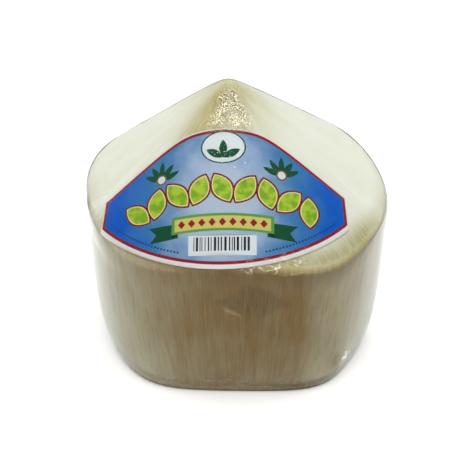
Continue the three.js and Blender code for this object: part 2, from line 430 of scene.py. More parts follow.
def place_on_piece(finish):
    """The place on the piece in millimetres."""
    metres = node(finish, "TexCoord").outputs["Object"]
    return node(finish, "VectorMath", {0: metres, "Scale": 1 / MM}, operation="SCALE").outputs[0]


def noise(finish, place, step, lengthwise=None, detail=2.0, shift=0.0):
    """Fibre noise from 0 to 1, one swell per step of millimetres."""
    scale = (1 / step, 1 / step, 1 / (lengthwise or step))
    moved = node(finish, "Mapping", {
        "Vector": place, "Scale": scale, "Location": (shift, shift, shift),
    })
    return node(finish, "TexNoise", {
        "Vector": moved.outputs[0], "Scale": 1.0, "Detail": detail,
    }).outputs["Fac"]


def maths(finish, operation, first, second=0.0, third=0.0):
    return node(finish, "Math", {0: first, 1: second, 2: third}, operation=operation).outputs[0]


def times(finish, *shares):
    """All the shares multiplied by one another."""
    product = shares[0]
    for share in shares[1:]:
        product = maths(finish, "MULTIPLY", product, share)
    return product


def rise(finish, value, low, high, start=0.0, end=1.0):
    """Goes smoothly from start to end while value goes from low to high."""
    return node(finish, "MapRange", {
        "Value": value, "From Min": low, "From Max": high, "To Min": start, "To Max": end,
    }, interpolation_type="SMOOTHSTEP").outputs[0]


def paint(finish, share, below, above):
    """Colour below where share is 0, and above where it is 1."""
    mix = node(finish, "Mix", {0: share}, data_type="RGBA")
    for socket, colour in ((mix.inputs[6], below), (mix.inputs[7], above)):
        if isinstance(colour, bpy.types.NodeSocket):
            finish.node_tree.links.new(colour, socket)
        else:
            socket.default_value = (*colour, 1)
    return mix.outputs[2]


def paint_over(finish, colour, layers):
    """Paints each layer, a share and its colour, over what lies below."""
    for share, above in layers:
        colour = paint(finish, share, colour, above)
    return colour


def bump(finish, height, depth, under=None):
    inputs = {"Height": height, "Distance": depth * MM, "Strength": 1.0}
    if under is not None:
        inputs["Normal"] = under
    return node(finish, "Bump", inputs).outputs[0]


def finish_with(finish, shader):
    node(finish, "OutputMaterial", {"Surface": shader.outputs[0]})


CONE_CREAM = (0.80, 0.82, 0.725)
CONE_YELLOW = (0.73, 0.71, 0.52)
TIP_OLIVE = (0.47, 0.40, 0.11)
BAND_OLIVE = (0.405, 0.37, 0.138)
SIDE_PALE = (0.60, 0.615, 0.46)
SIDE_BROWN_AND_SHADE = (0.265, 0.174, 0.069)
SIDE_GREEN = (0.36, 0.335, 0.19)
STREAK_AND_SHADE_DARK = (0.17, 0.105, 0.045)
STREAK_LIGHT = (0.60, 0.52, 0.34)
FRAY_OLIVE = (0.36, 0.30, 0.12)
CHAMFER_BROWN = (0.25, 0.19, 0.10)
FOOT_TAN = (0.50, 0.43, 0.28)
GRAZE_OLIVE = (0.27, 0.21, 0.06)
SCAR_BROWN = (0.13, 0.095, 0.05)
FOOT_EDGE_SHADOW_BROWN = (0.11, 0.08, 0.04)
BAND_WIDTH = 7.0  # of the olive band where most of it is left
FRAY_REACH = 2.0  # how far frayed fibres cross an edge, either way
# Stretches in millimetres above the shoulder, from where a colour sets in to where it is full.
NEAR_TIP, AT_APEX = (46, 78), (70, 84)
BAND_TOP = (6, -4)
LOW_SIDE, SHADE_UNDER_SHOULDER = (-20, -60), (-12, -1)
CONE_FROM_SIDE = (-2.0, 1.2)
FRINGE_LOW, FRINGE_HIGH = (-2.8, -0.8), (1.6, 0.0)
# The same above the rim of the chamfer, above the floor for a painted contact shadow, and in from
# the edge of the foot.
CHAMFER_STRETCH, FOOT_SHADOW_STRETCH = (1.0, -4.0), (2.4, 0.6)
FOOT_STRETCH, FOOT_RIM_STRETCH = (0.0, 1.2), (16, 0)
STREAK_GROOVE, SPECK_GROOVE = 0.14, 0.07


def fibre_patterns(finish, strand):
    """Patterns drawn out along the fibres, which all colours of the husk share."""
    return {
        "blotch": noise(finish, strand, 12, 15, detail=3),
        "green_patch": noise(finish, strand, 19, 26, shift=11),
        "wide_streak": noise(finish, strand, 3.2, 26, shift=3),
        "fine_streak": noise(finish, strand, 0.6, 9, detail=3, shift=7),
        "speck": noise(finish, strand, 0.8, 1.2, detail=3, shift=1),
        "cut_mark": noise(finish, strand, 0.9, 6, shift=29),
    }


def cone_colour(finish, along, pattern):
    """Cream fibre that yellows in blotches and streaks, with olive left near the tip."""
    blotched = rise(finish, pattern["blotch"], 0.45, 0.8, 0, 0.4)
    streaked = rise(finish, pattern["fine_streak"], 0.45, 0.75, 0, 0.4)
    patchy = rise(finish, pattern["green_patch"], 0.3, 0.6, 0.4, 1)
    near_tip = times(finish, rise(finish, along, *NEAR_TIP, 0, 0.5), patchy)
    cut_through = rise(finish, pattern["cut_mark"], 0.3, 0.6, 0.4, 0.9)
    stained = times(finish, stored(finish, "stain"), cut_through)
    apex = rise(finish, along, *AT_APEX, 0, 0.35)
    return paint_over(finish, CONE_CREAM, [
        (blotched, CONE_YELLOW), (streaked, CONE_YELLOW),
        (near_tip, TIP_OLIVE), (stained, TIP_OLIVE), (apex, TIP_OLIVE),
        (band_share(finish, along, pattern), BAND_OLIVE),
    ])


def band_share(finish, along, pattern):
    """The olive band just above the shoulder, cut through by the knife here and there."""
    olive_left = stored(finish, "band")
    above_band = maths(finish, "MULTIPLY_ADD", olive_left, -BAND_WIDTH, along)
    patchy = rise(finish, pattern["green_patch"], 0.35, 0.6, 0.8, 1.0)
    cut_through = rise(finish, pattern["cut_mark"], 0.35, 0.65, 0.75, 1.0)
    strength = rise(finish, olive_left, 0.2, 1.0, 0.45, 1.0)
    return times(finish, rise(finish, above_band, *BAND_TOP), patchy, cut_through, strength)


def side_colour(finish, along, pattern, at_front):
    """Pale fibre browned by air, with streaks, and with painted shade and painted sheen on it."""
    # Painted shade darkens the front and fades lower down, and a painted sheen pales both sides.
    brown = stored(finish, "browning_and_shade")
    for change in (
        rise(finish, pattern["wide_streak"], 0.3, 0.7, -0.055, 0.055),
        rise(finish, pattern["blotch"], 0.3, 0.7, -0.06, 0.06),
        rise(finish, along, *LOW_SIDE, 0.02, -0.16),
    ):
        brown = maths(finish, "ADD", brown, change)
    greened = rise(finish, pattern["green_patch"], 0.4, 0.7, 0, 0.18)
    dark_streak = rise(finish, pattern["fine_streak"], 0.5, 0.75, 0, 0.3)
    light_streak = rise(finish, pattern["fine_streak"], 0.5, 0.25, 0, 0.16)
    # Painted shade under the overhanging shoulder, strongest at the front.
    shade_under_shoulder = times(finish, rise(finish, along, *SHADE_UNDER_SHOULDER, 0, 0.52), at_front)
    speckled = rise(finish, pattern["speck"], 0.2, 0.7, 0.2, 0.45)
    return paint_over(finish, SIDE_PALE, [
        (brown, SIDE_BROWN_AND_SHADE), (greened, SIDE_GREEN),
        (dark_streak, STREAK_AND_SHADE_DARK), (light_streak, STREAK_LIGHT),
        (shade_under_shoulder, STREAK_AND_SHADE_DARK),
        (times(finish, stored(finish, "scar"), speckled), SCAR_BROWN),
        (times(finish, stored(finish, "scratch"), 0.45), STREAK_LIGHT),
        (times(finish, stored(finish, "graze"), 0.9), GRAZE_OLIVE),
    ])


def join_cone_and_side(finish, along, side, cone, at_front, fray):
    """The shoulder, where frayed fibres run over the edge and leave an olive fringe."""
    along = maths(finish, "ADD", along, fray)
    along = maths(finish, "SUBTRACT", along, stored(finish, "lip"))
    above_low, below_high = rise(finish, along, *FRINGE_LOW), rise(finish, along, *FRINGE_HIGH)
    fringe = times(finish, above_low, below_high, at_front)
    joined = paint(finish, rise(finish, along, *CONE_FROM_SIDE), side, cone)
    return paint(finish, times(finish, fringe, 0.5), joined, FRAY_OLIVE)


def foot_colour(finish, inside_foot):
    """Tan ends of the fibres, yellow where they have dried and brown towards the edge."""
    place = place_on_piece(finish)
    dried = rise(finish, noise(finish, place, 15, detail=3, shift=19), 0.4, 0.7, 0, 0.55)
    browned = rise(finish, inside_foot, *FOOT_RIM_STRETCH, 0, 0.5)
    blotched = rise(finish, noise(finish, place, 22, 2.5, shift=37), 0.5, 0.65, 0, 0.3)
    fibre_ends = rise(finish, noise(finish, place, 1.0, shift=13), 0.5, 0.68, 0, 0.6)
    return paint_over(finish, FOOT_TAN, [
        (dried, CONE_YELLOW), (browned, CHAMFER_BROWN), (blotched, CHAMFER_BROWN),
        (fibre_ends, STREAK_AND_SHADE_DARK),
    ])


def make_husk_finish():
    finish = new_finish("cut_fibre")
    strand, along = strand_and_along(finish)
    pattern = fibre_patterns(finish, strand)
    at_front = rise(finish, stored(finish, "band"), 0.2, 1.0, 0.3, 1.0)
    fray = maths(finish, "MULTIPLY_ADD", pattern["cut_mark"], 2 * FRAY_REACH, -FRAY_REACH)
    cone = cone_colour(finish, along, pattern)
    side = side_colour(finish, along, pattern, at_front)
    colour = join_cone_and_side(finish, along, side, cone, at_front, fray)

    above_rim = maths(finish, "ADD", stored(finish, "above_rim"), times(finish, fray, 0.6))
    above_floor = maths(finish, "MULTIPLY_ADD", fray, 0.4, stored(finish, "height"))
    inside_foot = stored(finish, "inside_foot")
    colour = paint_over(finish, colour, [
        (rise(finish, above_rim, *CHAMFER_STRETCH, 0, 0.5), CHAMFER_BROWN),
        # A painted contact shadow darkens the edge of the foot just above the floor.
        (rise(finish, above_floor, *FOOT_SHADOW_STRETCH, 0, 0.7), FOOT_EDGE_SHADOW_BROWN),
        (times(finish, stored(finish, "darker_foot_edge"), 0.65), FOOT_EDGE_SHADOW_BROWN),
        (rise(finish, inside_foot, *FOOT_STRETCH), foot_colour(finish, inside_foot)),
    ])
    texture = bump(finish, pattern["fine_streak"], STREAK_GROOVE)
    texture = bump(finish, pattern["speck"], SPECK_GROOVE, texture)
    roughness = rise(finish, pattern["speck"], 0.2, 0.8, 0.5, 0.75)
    finish_with(finish, node(finish, "BsdfPrincipled", {
        "Base Color": colour, "Roughness": roughness, "Normal": texture,
        "Specular IOR Level": 0.15,
    }))
    return finish


husk.data.materials.append(make_husk_finish())
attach(husk, "root")
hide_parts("husk")


# ---- Label ----------------------------------------------------------------------------------
# A printed paper sheet, cut to follow the cone, with a white edge, a red keyline and a blue
# field. It lies on the front of the cone and the wrap holds it there, with no glue. The print
# is a plain fruit design of leaves, and the panel has bars that stand for no number.

LABEL_HALF_WIDTH = 52.9
LABEL_TOP = -23  # heights on the flat sheet are measured from the cone's tip
LABEL_SHOULDER_X = 16.2
LABEL_SHOULDER_ROUND = 8.4
LABEL_SHOULDER_SLOPE = 0.67
LABEL_BOTTOM_RADIUS = 77.8
LABEL_BOTTOM_CENTRE = -5.8
LABEL_SHIFT = -3.1  # the sheet lies a little to the left, and turned
LABEL_TURN = math.radians(1.4)
LABEL_CLEARANCE = 0.42
LABEL_THICKNESS = 0.26
LABEL_STEP = 1.7  # spacing of the mesh points that bend round the cone
WHITE_EDGE, WHITE_FOOT = 0.65, 1.85  # width of the white edge, and of the one at the bottom
KEYLINE = 1.3

front_way = unit(np.array([0, -1, 0]) + cone_axis[1] * cone_axis)
right_way = np.cross(cone_axis, front_way)
cone_tip = HEART + cone_axis * cone_reach


def label_top(x, inset=0.0):
    past = abs(x) - LABEL_SHOULDER_X
    reach = np.hypot(past, LABEL_SHOULDER_ROUND)
    slope = LABEL_SHOULDER_SLOPE * (1 + past / reach) / 2
    return LABEL_TOP - LABEL_SHOULDER_SLOPE * (past + reach) / 2 - inset * np.hypot(1, slope)


def label_bottom(x, inset=0.0):
    radius = LABEL_BOTTOM_RADIUS - inset
    return LABEL_BOTTOM_CENTRE - np.sqrt(np.maximum(radius ** 2 - x ** 2, 0))


def label_outline(inset, foot_inset):
    x = np.linspace(-1, 1, 61) * (LABEL_HALF_WIDTH - inset)
    return [*zip(x, label_bottom(x, foot_inset)), *zip(x[::-1], label_top(x[::-1], inset))]


label_middle = np.array([0, (label_top(0) + label_bottom(0)) / 2])


def turn_flat(points, angle):
    cos, sin = math.cos(angle), math.sin(angle)
    return points @ np.array([[cos, sin], [-sin, cos]])


def roll_onto_cone(sheet, height):
    """Rolls points of the flat sheet onto the cone, at a height above it."""
    sheet = label_middle + turn_flat(sheet - label_middle, -LABEL_TURN) + [LABEL_SHIFT, 0]
    down = np.linalg.norm(sheet, axis=-1)
    around = np.arctan2(sheet[:, 0], -sheet[:, 1]) / math.cos(CONE_SLOPE)
    outward = np.cos(around)[:, None] * front_way + np.sin(around)[:, None] * right_way
    out = down * math.cos(CONE_SLOPE) + height * math.sin(CONE_SLOPE)
    up = height * math.cos(CONE_SLOPE) - down * math.sin(CONE_SLOPE)
    return cone_tip + outward * out[:, None] + cone_axis * up[:, None]


def disc(radius, squash=1.0, count=36):
    turns = np.arange(count) / count * math.tau
    return np.stack([radius * np.cos(turns), radius * squash * np.sin(turns)], axis=-1)


def leaf(length, width, bend=0.0):
    """A pointed oval from the origin along +x, with its midrib bent by a share of its length."""
    share = np.linspace(0, 1, 13)
    half = width / 2 * np.sin(math.pi * share) ** 0.8
    spine = bend * length * share ** 2
    upper = np.stack([length * share, spine + half], axis=-1)
    lower = np.stack([length * share, spine - half], axis=-1)
    return np.concatenate([lower, upper[-2:0:-1]])


def block(width, height):
    return np.array([(-1, -1), (1, -1), (1, 1), (-1, 1)]) * [width / 2, height / 2]


prints = []  # (ink, outline) from the lowest layer to the topmost


def print_shape(ink, shape, middle=(0, 0), turn=0.0):
    prints.append((ink, turn_flat(np.array(shape), turn) + np.array(middle)))


print_shape("paper", label_outline(0, 0))
print_shape("red", label_outline(WHITE_EDGE, WHITE_FOOT))
print_shape("field", label_outline(WHITE_EDGE + KEYLINE, WHITE_FOOT + KEYLINE))

# Tufts of dark leaves stand on both shoulders of the field, with a cut nut at the foot of each.
TUFT_PLACES = [(-25.5, -43.8), (24, -43)]
TUFT_LEAF_TURNS = np.radians([12, 48, 90, 132, 168])
TUFT_LEAF_BENDS = [0.16, 0.08, 0, -0.08, -0.16]
for tuft_place in TUFT_PLACES:
    for leaf_turn, bend in zip(TUFT_LEAF_TURNS, TUFT_LEAF_BENDS):
        print_shape("dark_green", leaf(length=8.2, width=2.5, bend=bend), tuft_place, leaf_turn)
    print_shape("brown", disc(radius=2.4), tuft_place)
    print_shape("white", disc(radius=1.7), tuft_place)

# A pale roundel at the top holds a sprig.
ROUNDEL_X, ROUNDEL_Y, SPRIG_Y = 0.3, -32, -36.4
print_shape("dark_green", disc(radius=9.1, squash=0.78), (ROUNDEL_X, ROUNDEL_Y))
print_shape("white", disc(radius=8.5, squash=0.77), (ROUNDEL_X, ROUNDEL_Y))
for leaf_turn in np.radians([28, 90, 152]):
    print_shape("dark_green", leaf(length=7.6, width=3.2), (ROUNDEL_X, SPRIG_Y), leaf_turn)

# A garland of lime leaves crosses the middle, each with a cream edge in a dark red surround.
GARLAND_CENTRE, GARLAND_RADIUS = -127.5, 78.0
GARLAND_LEAVES, GARLAND_SPREAD = 9, math.radians(27)
LEAF_LENGTH, LEAF_WIDTH = 12.0, 6.8
LEAF_TURNS = [118, 62]  # neighbours lean opposite ways
for ink, grow in (("dark_red", 1.5), ("cream", 0.6), ("lime", 0.0)):
    for number, along in enumerate(np.linspace(-GARLAND_SPREAD, GARLAND_SPREAD, GARLAND_LEAVES)):
        middle = np.array([
            GARLAND_RADIUS * math.sin(along), GARLAND_CENTRE + GARLAND_RADIUS * math.cos(along),
        ])
        leaf_turn = math.radians(LEAF_TURNS[number % 2]) - along
        half_leaf = LEAF_LENGTH / 2 + grow
        start = middle - np.array([math.cos(leaf_turn), math.sin(leaf_turn)]) * half_leaf
        print_shape(ink, leaf(LEAF_LENGTH + 2 * grow, LEAF_WIDTH + 1.7 * grow), start, leaf_turn)

# A green ribbon with a yellow bar hangs under it, set with red diamonds.
RIBBON_X, RIBBON_Y = 0.2, -64.4
RIBBON_ARCH = 1.1
TAIL = np.array([(0, -3), (12, -3.4), (9, 0), (12, 3.4), (0, 3)])
TAIL_X, TAIL_DROP, TAIL_TURN = 18, 2.6, -0.1
FOLD = np.array([(17.5, -4.2), (20.5, -5.6), (20.5, -4.2)])
DIAMOND = np.array([(-1.5, 0), (0, -1.7), (1.5, 0), (0, 1.7)])
DIAMOND_STEP, DIAMOND_RISE, DIAMOND_DROP = 4.1, 0.55, 0.044


def banner(width, height):
    share = np.linspace(-1, 1, 25)
    middle = RIBBON_ARCH * (0.5 - share ** 2)
    upper = np.stack([share * width / 2, middle + height / 2], axis=-1)
    lower = np.stack([share * width / 2, middle - height / 2], axis=-1)
    return np.concatenate([lower, upper[::-1]])


for side in (-1, 1):
    tail_place = (RIBBON_X + side * TAIL_X, RIBBON_Y - TAIL_DROP)
    print_shape("dark_green", (TAIL * [side, 1])[::side], tail_place, TAIL_TURN * side)
    print_shape("black", (FOLD * [side, 1])[::side], (RIBBON_X, RIBBON_Y))
print_shape("green", banner(width=41, height=7.4), (RIBBON_X, RIBBON_Y))
print_shape("yellow", banner(width=38.4, height=5.2), (RIBBON_X, RIBBON_Y))
for number in range(-4, 5):
    diamond_y = RIBBON_Y + DIAMOND_RISE - DIAMOND_DROP * number ** 2
    print_shape("red", DIAMOND, (RIBBON_X + number * DIAMOND_STEP, diamond_y))

# A white panel at the foot of the sheet carries plain bars.
PANEL_X, PANEL_Y = 0.2, -73.6
BARS_LEFT, BARS_RIGHT, BARS_HEIGHT, BARS_RAISED = -11.4, 11, 5.8, 0.5
BAR_WIDTHS, BAR_GAPS = [0.35, 0.55, 0.9], [0.4, 0.6, 0.9]
print_shape("white", block(width=27, height=8.4), (PANEL_X, PANEL_Y))
bar_left = BARS_LEFT
while bar_left < BARS_RIGHT:
    bar_width, bar_gap = seeded.choice(BAR_WIDTHS), seeded.choice(BAR_GAPS)
    bar_place = (PANEL_X + bar_left + bar_width / 2, PANEL_Y + BARS_RAISED)
    print_shape("black", block(bar_width, BARS_HEIGHT), bar_place)
    bar_left += bar_width + bar_gap

# A string of small beads follows the lower edge on both sides of the panel.
BEAD_RADIUS, BEAD_INSET = 0.45, 2.2
bead_reach = LABEL_BOTTOM_RADIUS - WHITE_FOOT - KEYLINE - BEAD_INSET
for angle in np.radians([*np.linspace(-40, -14, 24), *np.linspace(14, 40, 24)]):
    middle = (bead_reach * math.sin(angle), LABEL_BOTTOM_CENTRE - bead_reach * math.cos(angle))
    print_shape("navy", disc(BEAD_RADIUS, count=8), middle)

INSIDE_OUTLINES = 1  # keeps only the faces that lie inside an outline
WELD_DISTANCE = 1e-5


def lay_out_print():
    """Splits the sheet into faces along every printed edge. Gives points, faces and inks."""
    corners, rings = [], []
    for _, outline in prints:
        rings.append(list(range(len(corners), len(corners) + len(outline))))
        corners += [Vector(point) for point in outline]
    for x in np.arange(-LABEL_HALF_WIDTH + LABEL_STEP, LABEL_HALF_WIDTH, LABEL_STEP):
        ys = np.arange(label_bottom(x) + LABEL_STEP / 2, label_top(x) - LABEL_STEP / 2, LABEL_STEP)
        corners += [Vector((x, y)) for y in ys]
    points, _, faces, _, _, layers = delaunay_2d_cdt(
        corners, [], rings, INSIDE_OUTLINES, WELD_DISTANCE,
    )
    inside = [(face, max(layer)) for face, layer in zip(faces, layers) if layer]
    inks = [prints[layer][0] for _, layer in inside]
    return np.array([point[:] for point in points]), [face for face, _ in inside], inks


RIPPLE_HEIGHT, RIPPLE_LENGTH = 0.07, 9
sheet_points, sheet_faces, sheet_inks = lay_out_print()
sheet_places = np.column_stack([sheet_points, 0 * sheet_points[:, 0]])
ripple = RIPPLE_HEIGHT * unevenness(sheet_places, RIPPLE_LENGTH, shift=200)
label = add_piece(
    "printed_label",
    roll_onto_cone(sheet_points, LABEL_CLEARANCE + LABEL_THICKNESS + ripple), sheet_faces,
)
store(label, "sheet", sheet_places)
thickness = label.modifiers.new("paper", "SOLIDIFY")
thickness.thickness = LABEL_THICKNESS * MM
thickness.offset = -1  # the paper's thickness lies below the printed face

INKS = {
    "paper": (0.80, 0.79, 0.77),
    "white": (0.74, 0.79, 0.80),
    "red": (0.28, 0.02, 0.03),
    "dark_red": (0.20, 0.02, 0.02),
    "lime": (0.22, 0.42, 0.03),
    "cream": (0.80, 0.72, 0.32),
    "green": (0.12, 0.34, 0.08),
    "dark_green": (0.01, 0.09, 0.04),
    "yellow": (0.66, 0.58, 0.16),
    "brown": (0.20, 0.10, 0.04),
    "navy": (0.02, 0.05, 0.14),
    "black": (0.02, 0.02, 0.03),
}
FIELD_DEEP = (0.001, 0.115, 0.54)
FIELD_MID = (0.055, 0.22, 0.46)
FIELD_PALE = (0.46, 0.55, 0.68)
LIME_BRIGHT = (0.45, 0.60, 0.05)
SKY_DROP = 56  # the middle of the pale sky, down from the cone's tip
SKY_WIDTH, SKY_HEIGHT = 40, 60  # about how far from its middle it has faded


def field_colour(finish, sheet):
    """Deep blue at both ends of the sheet, and pale in the middle like sky behind cloud."""
    place = node(finish, "SeparateXYZ", {0: sheet}).outputs
    across = maths(finish, "DIVIDE", place["X"], SKY_WIDTH)
    above_middle = maths(finish, "ADD", place["Y"], SKY_DROP)
    down = maths(finish, "DIVIDE", above_middle, SKY_HEIGHT)
    squares = times(finish, across, across), times(finish, down, down)
    reach = maths(finish, "SQRT", maths(finish, "ADD", *squares))
    cloud = maths(finish, "MULTIPLY_ADD", noise(finish, sheet, 9, detail=3), 0.5, -0.25)
    cloudy = maths(finish, "ADD", reach, cloud)
    colour = paint(finish, rise(finish, cloudy, 0.15, 0.8), FIELD_PALE, FIELD_MID)
    return paint(finish, rise(finish, cloudy, 0.7, 1.15), colour, FIELD_DEEP)


def lime_colour(finish, sheet):
    mottled = rise(finish, noise(finish, sheet, 3.4, detail=1), 0.35, 0.65)
    return paint(finish, mottled, INKS["lime"], LIME_BRIGHT)


def make_ink_finish(ink):
    finish = new_finish("ink_" + ink)
    sheet = stored(finish, "sheet", "Vector")
    if ink == "field":
        colour = field_colour(finish, sheet)
    elif ink == "lime":
        colour = lime_colour(finish, sheet)
    else:
        colour = INKS[ink]
    missed = rise(finish, noise(finish, sheet, 0.35, detail=1), 0.45, 0.8, 0, 0.012)
    colour = paint(finish, missed, colour, INKS["paper"])
    roughness = rise(finish, noise(finish, sheet, 2.5), 0.3, 0.7, 0.28, 0.42)
    texture = bump(finish, noise(finish, sheet, 1.2), 0.03)
    finish_with(finish, node(finish, "BsdfPrincipled", {
        "Base Color": colour, "Roughness": roughness, "Normal": texture,
        "Specular IOR Level": 0.02,
    }))
    return finish


ink_order = ["paper", "field"] + [ink for ink in INKS if ink != "paper"]
for ink in ink_order:
    label.data.materials.append(make_ink_finish(ink))
label.data.polygons.foreach_set("material_index", [ink_order.index(ink) for ink in sheet_inks])
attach(label, "root")
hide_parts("label")


# ---- Clear wrap -----------------------------------------------------------------------------
# A thin clear film, shrunk tight over husk and label with hot air. It takes small creases where
# the cone and the lower edge of the label pull it in, and its hem is open just above the floor.

WRAP_CLEARANCE = 0.55
WRAP_LABEL_LIFT = 1.2  # how much higher it runs over the label
WRAP_TENT_FROM, WRAP_TENT_TO = 1, 26  # it comes down again at these distances off the label
WRAP_BRIDGE_SHARPNESS = 160
WRAP_HEM_HEIGHT = 1.9
WRAP_STEPS = 480
WRAP_ROWS = {"cone": 62, "side": 60, "chamfer": 14}
LEAN_LEAST = 1e-6  # below this a way out never meets the cone
NOWHERE = 1e6  # and its place counts as this far off the label


def off_label(way):
    """Distance outside the label's outline, negative over the label, and the place on the sheet."""
    along = way @ cone_axis
    aside = way - along[..., None] * cone_axis
    off_axis = np.linalg.norm(aside, axis=-1)
    lean = math.cos(CONE_SLOPE) * along + math.sin(CONE_SLOPE) * off_axis
    reach = cone_reach * math.cos(CONE_SLOPE) / np.maximum(lean, LEAN_LEAST)
    down = reach * off_axis / math.cos(CONE_SLOPE)
    around = np.arctan2(aside @ right_way, aside @ front_way) * math.cos(CONE_SLOPE)
    sheet = np.stack([down * np.sin(around) - LABEL_SHIFT, -down * np.cos(around)], axis=-1)
    sheet = label_middle + turn_flat(sheet - label_middle, LABEL_TURN)
    x, y = sheet[..., 0], sheet[..., 1]
    past_ends = np.maximum(y - label_top(x), label_bottom(x) - y)
    outside = np.maximum(abs(x) - LABEL_HALF_WIDTH, past_ends)
    return np.where(lean > LEAN_LEAST, outside, NOWHERE), sheet


def above_hem(way):
    return surface_height(way) > WRAP_HEM_HEIGHT


wrap_turns = np.arange(WRAP_STEPS) / WRAP_STEPS * math.tau
wrap_edges = find_edges(wrap_turns)
wrap_edges["hem"] = find_edge(wrap_turns, wrap_edges["foot"], wrap_edges["rim"], above_hem)
wrap_heights = lay_rows(wrap_edges, [
    ("tip", "shoulder", WRAP_ROWS["cone"]),
    ("shoulder", "rim", WRAP_ROWS["side"]),
    ("rim", "hem", WRAP_ROWS["chamfer"]),
])
wrap_ways = way_at(wrap_heights, wrap_turns)
wrap_radii = husk_radius(wrap_ways)
husk_below = HEART + wrap_ways * wrap_radii[..., None]
wrap_strands = strand_places(husk_below, wrap_turns, WRAP_ROWS["cone"])
wrap_along = wrap_strands[..., 2]
wrap_above_rim = wrap_along - wrap_along[WRAP_ROWS["cone"] + WRAP_ROWS["side"]]
past_label, wrap_sheet = off_label(wrap_ways)
across_sheet, down_sheet = wrap_sheet[..., 0], -wrap_sheet[..., 1]
over_label = 1 - smooth((past_label - WRAP_TENT_FROM) / (WRAP_TENT_TO - WRAP_TENT_FROM))
bridge = husk_radius(wrap_ways, WRAP_BRIDGE_SHARPNESS) - wrap_radii
wrap_radii = wrap_radii + WRAP_CLEARANCE + over_label * (bridge + WRAP_LABEL_LIFT)

# Creases crowd in a fan that opens from the tip down to the top of the label.
FAN_MIDDLE, FAN_OPENING, FAN_LEAST, FAN_SOFTNESS = 2.5, 0.4, 3.2, 6
FAN_FROM, FAN_TO = 2, 27
fan = smooth((FAN_OPENING * down_sheet + FAN_LEAST - abs(across_sheet - FAN_MIDDLE)) / FAN_SOFTNESS)
fan *= smooth((down_sheet - FAN_FROM) / 3) * smooth((FAN_TO - down_sheet) / 5)

# They gather under the lower edge of the label on its right half, and along the hem.
EDGE_PAST, EDGE_WIDTH, EDGE_DOWN = 3, 4.5, 62
EDGE_LEFT, EDGE_RIGHT = 2, 40
HEM_GATHER_HEIGHT = 16
low_edge = hill(past_label - EDGE_PAST, EDGE_WIDTH) * smooth((down_sheet - EDGE_DOWN) / 8)
low_edge = low_edge * smooth((across_sheet - EDGE_LEFT) / 10)
low_edge *= smooth((wrap_along + 3) / 4) * smooth((EDGE_RIGHT - across_sheet) / 15)
hem_gather = smooth(1 - (wrap_along - wrap_along[-1:]) / HEM_GATHER_HEIGHT)

# A fold of spare film is pinched in above the chamfer.
TUCK_TURN, TUCK_RISE = math.radians(-46), 4
TUCK_WIDTH, TUCK_HEIGHT = 2.6, 3
tuck = hill(turn_from(wrap_turns, TUCK_TURN) * GIRTH_RADIUS, TUCK_WIDTH)
tuck = tuck * hill(wrap_above_rim - TUCK_RISE, TUCK_HEIGHT)

# Small glints, painted white on the film, over the upper half of the label.
GLINT_ACROSS, GLINT_DOWN, GLINT_SPREAD = 3, 38, 16
glint = hill(across_sheet - GLINT_ACROSS, GLINT_SPREAD) * hill(down_sheet - GLINT_DOWN, GLINT_SPREAD)

CREASE_HEIGHT, CREASE_SHARPNESS, FILM_SLACK = 0.25, 3, 0.05
crumple = np.clip(fan + 0.9 * low_edge + 0.2 * hem_gather + 1.3 * tuck, 0, 1)
crease = 1 - abs(unevenness(wrap_strands, 2.2, 5, shift=40)) * CREASE_SHARPNESS
crease = np.maximum(crease, 0) ** 2
slack = FILM_SLACK * (1 + unevenness(wrap_strands, 8, 14, shift=5))
wrap_radii += CREASE_HEIGHT * crumple * crease + slack
wrap_points = HEART + wrap_ways * wrap_radii[..., None]
wrap = add_piece(
    "clear_wrap", point_list(wrap_points, has_bottom=False),
    globe_faces(len(wrap_points) - 1, WRAP_STEPS, has_bottom=False),
)
wrap_marks = {
    "strand": wrap_strands, "crumple": crumple, "fan": fan, "glint": glint, "tuck": tuck,
}
for mark, values in wrap_marks.items():
    store(wrap, mark, point_list(values, has_bottom=False))

FOLD_GLINT_WHITE = (0.93, 0.91, 0.82)
FLECK_HIGHLIGHT = (0.97, 0.93, 0.74)
FLECK_SHADE_GOLD = (0.15, 0.10, 0.02)
FLECK_SHADE_STRAW = (0.34, 0.29, 0.11)
FILM_INDEX = 1.5
FILM_GLOSS = 1.3  # times what one clean skin of film reflects
FILM_GLOSS_LOST = 0.052  # so that film seen square on reflects nothing
FILM_ROUGHNESS = 0.12
CRINKLE_HEIGHT = 0.3
ONTO_CONE, GOLD_AT_TIP = (-10, 6), (60, 74)  # stretches above the shoulder


def film_texture(finish, place, crumpled):
    crinkle = noise(finish, place, 0.9, detail=3)
    ripples = noise(finish, place, 4.5, shift=5)
    depth = times(finish, crinkle, rise(finish, crumpled, 0, 1, 0.02, 1.0))
    height = maths(finish, "ADD", depth, times(finish, ripples, 0.5))
    return bump(finish, height, CRINKLE_HEIGHT)


def film_shine(finish, texture, along, crumpled):
    """Share of light that the film reflects. On the cone its outer face reflects only a little,
    but crumpled film reflects more, and so does any film that is seen edge on."""
    reflected = node(finish, "Fresnel", {"IOR": FILM_INDEX, "Normal": texture}).outputs[0]
    share = maths(finish, "MULTIPLY_ADD", reflected, FILM_GLOSS, -FILM_GLOSS_LOST)
    share = maths(finish, "MAXIMUM", share, 0.0)
    seen_from_inside = node(finish, "NewGeometry").outputs["Backfacing"]
    most_on_cone = rise(finish, along, *ONTO_CONE, 1.0, 0.11)
    most_crumpled = rise(finish, crumpled, 0, 1, 0, 0.5)
    most_edge_on = rise(finish, share, 0.6, 1.0)
    most = maths(finish, "MAXIMUM", most_on_cone, most_crumpled)
    most = maths(finish, "MAXIMUM", most, most_edge_on)
    return maths(finish, "MINIMUM", share, maths(finish, "ADD", seen_from_inside, most))


def from_middle(finish, pattern):
    """How far a pattern is from its middle value, which is small along thin wandering lines."""
    return maths(finish, "ABSOLUTE", maths(finish, "SUBTRACT", pattern, 0.5))


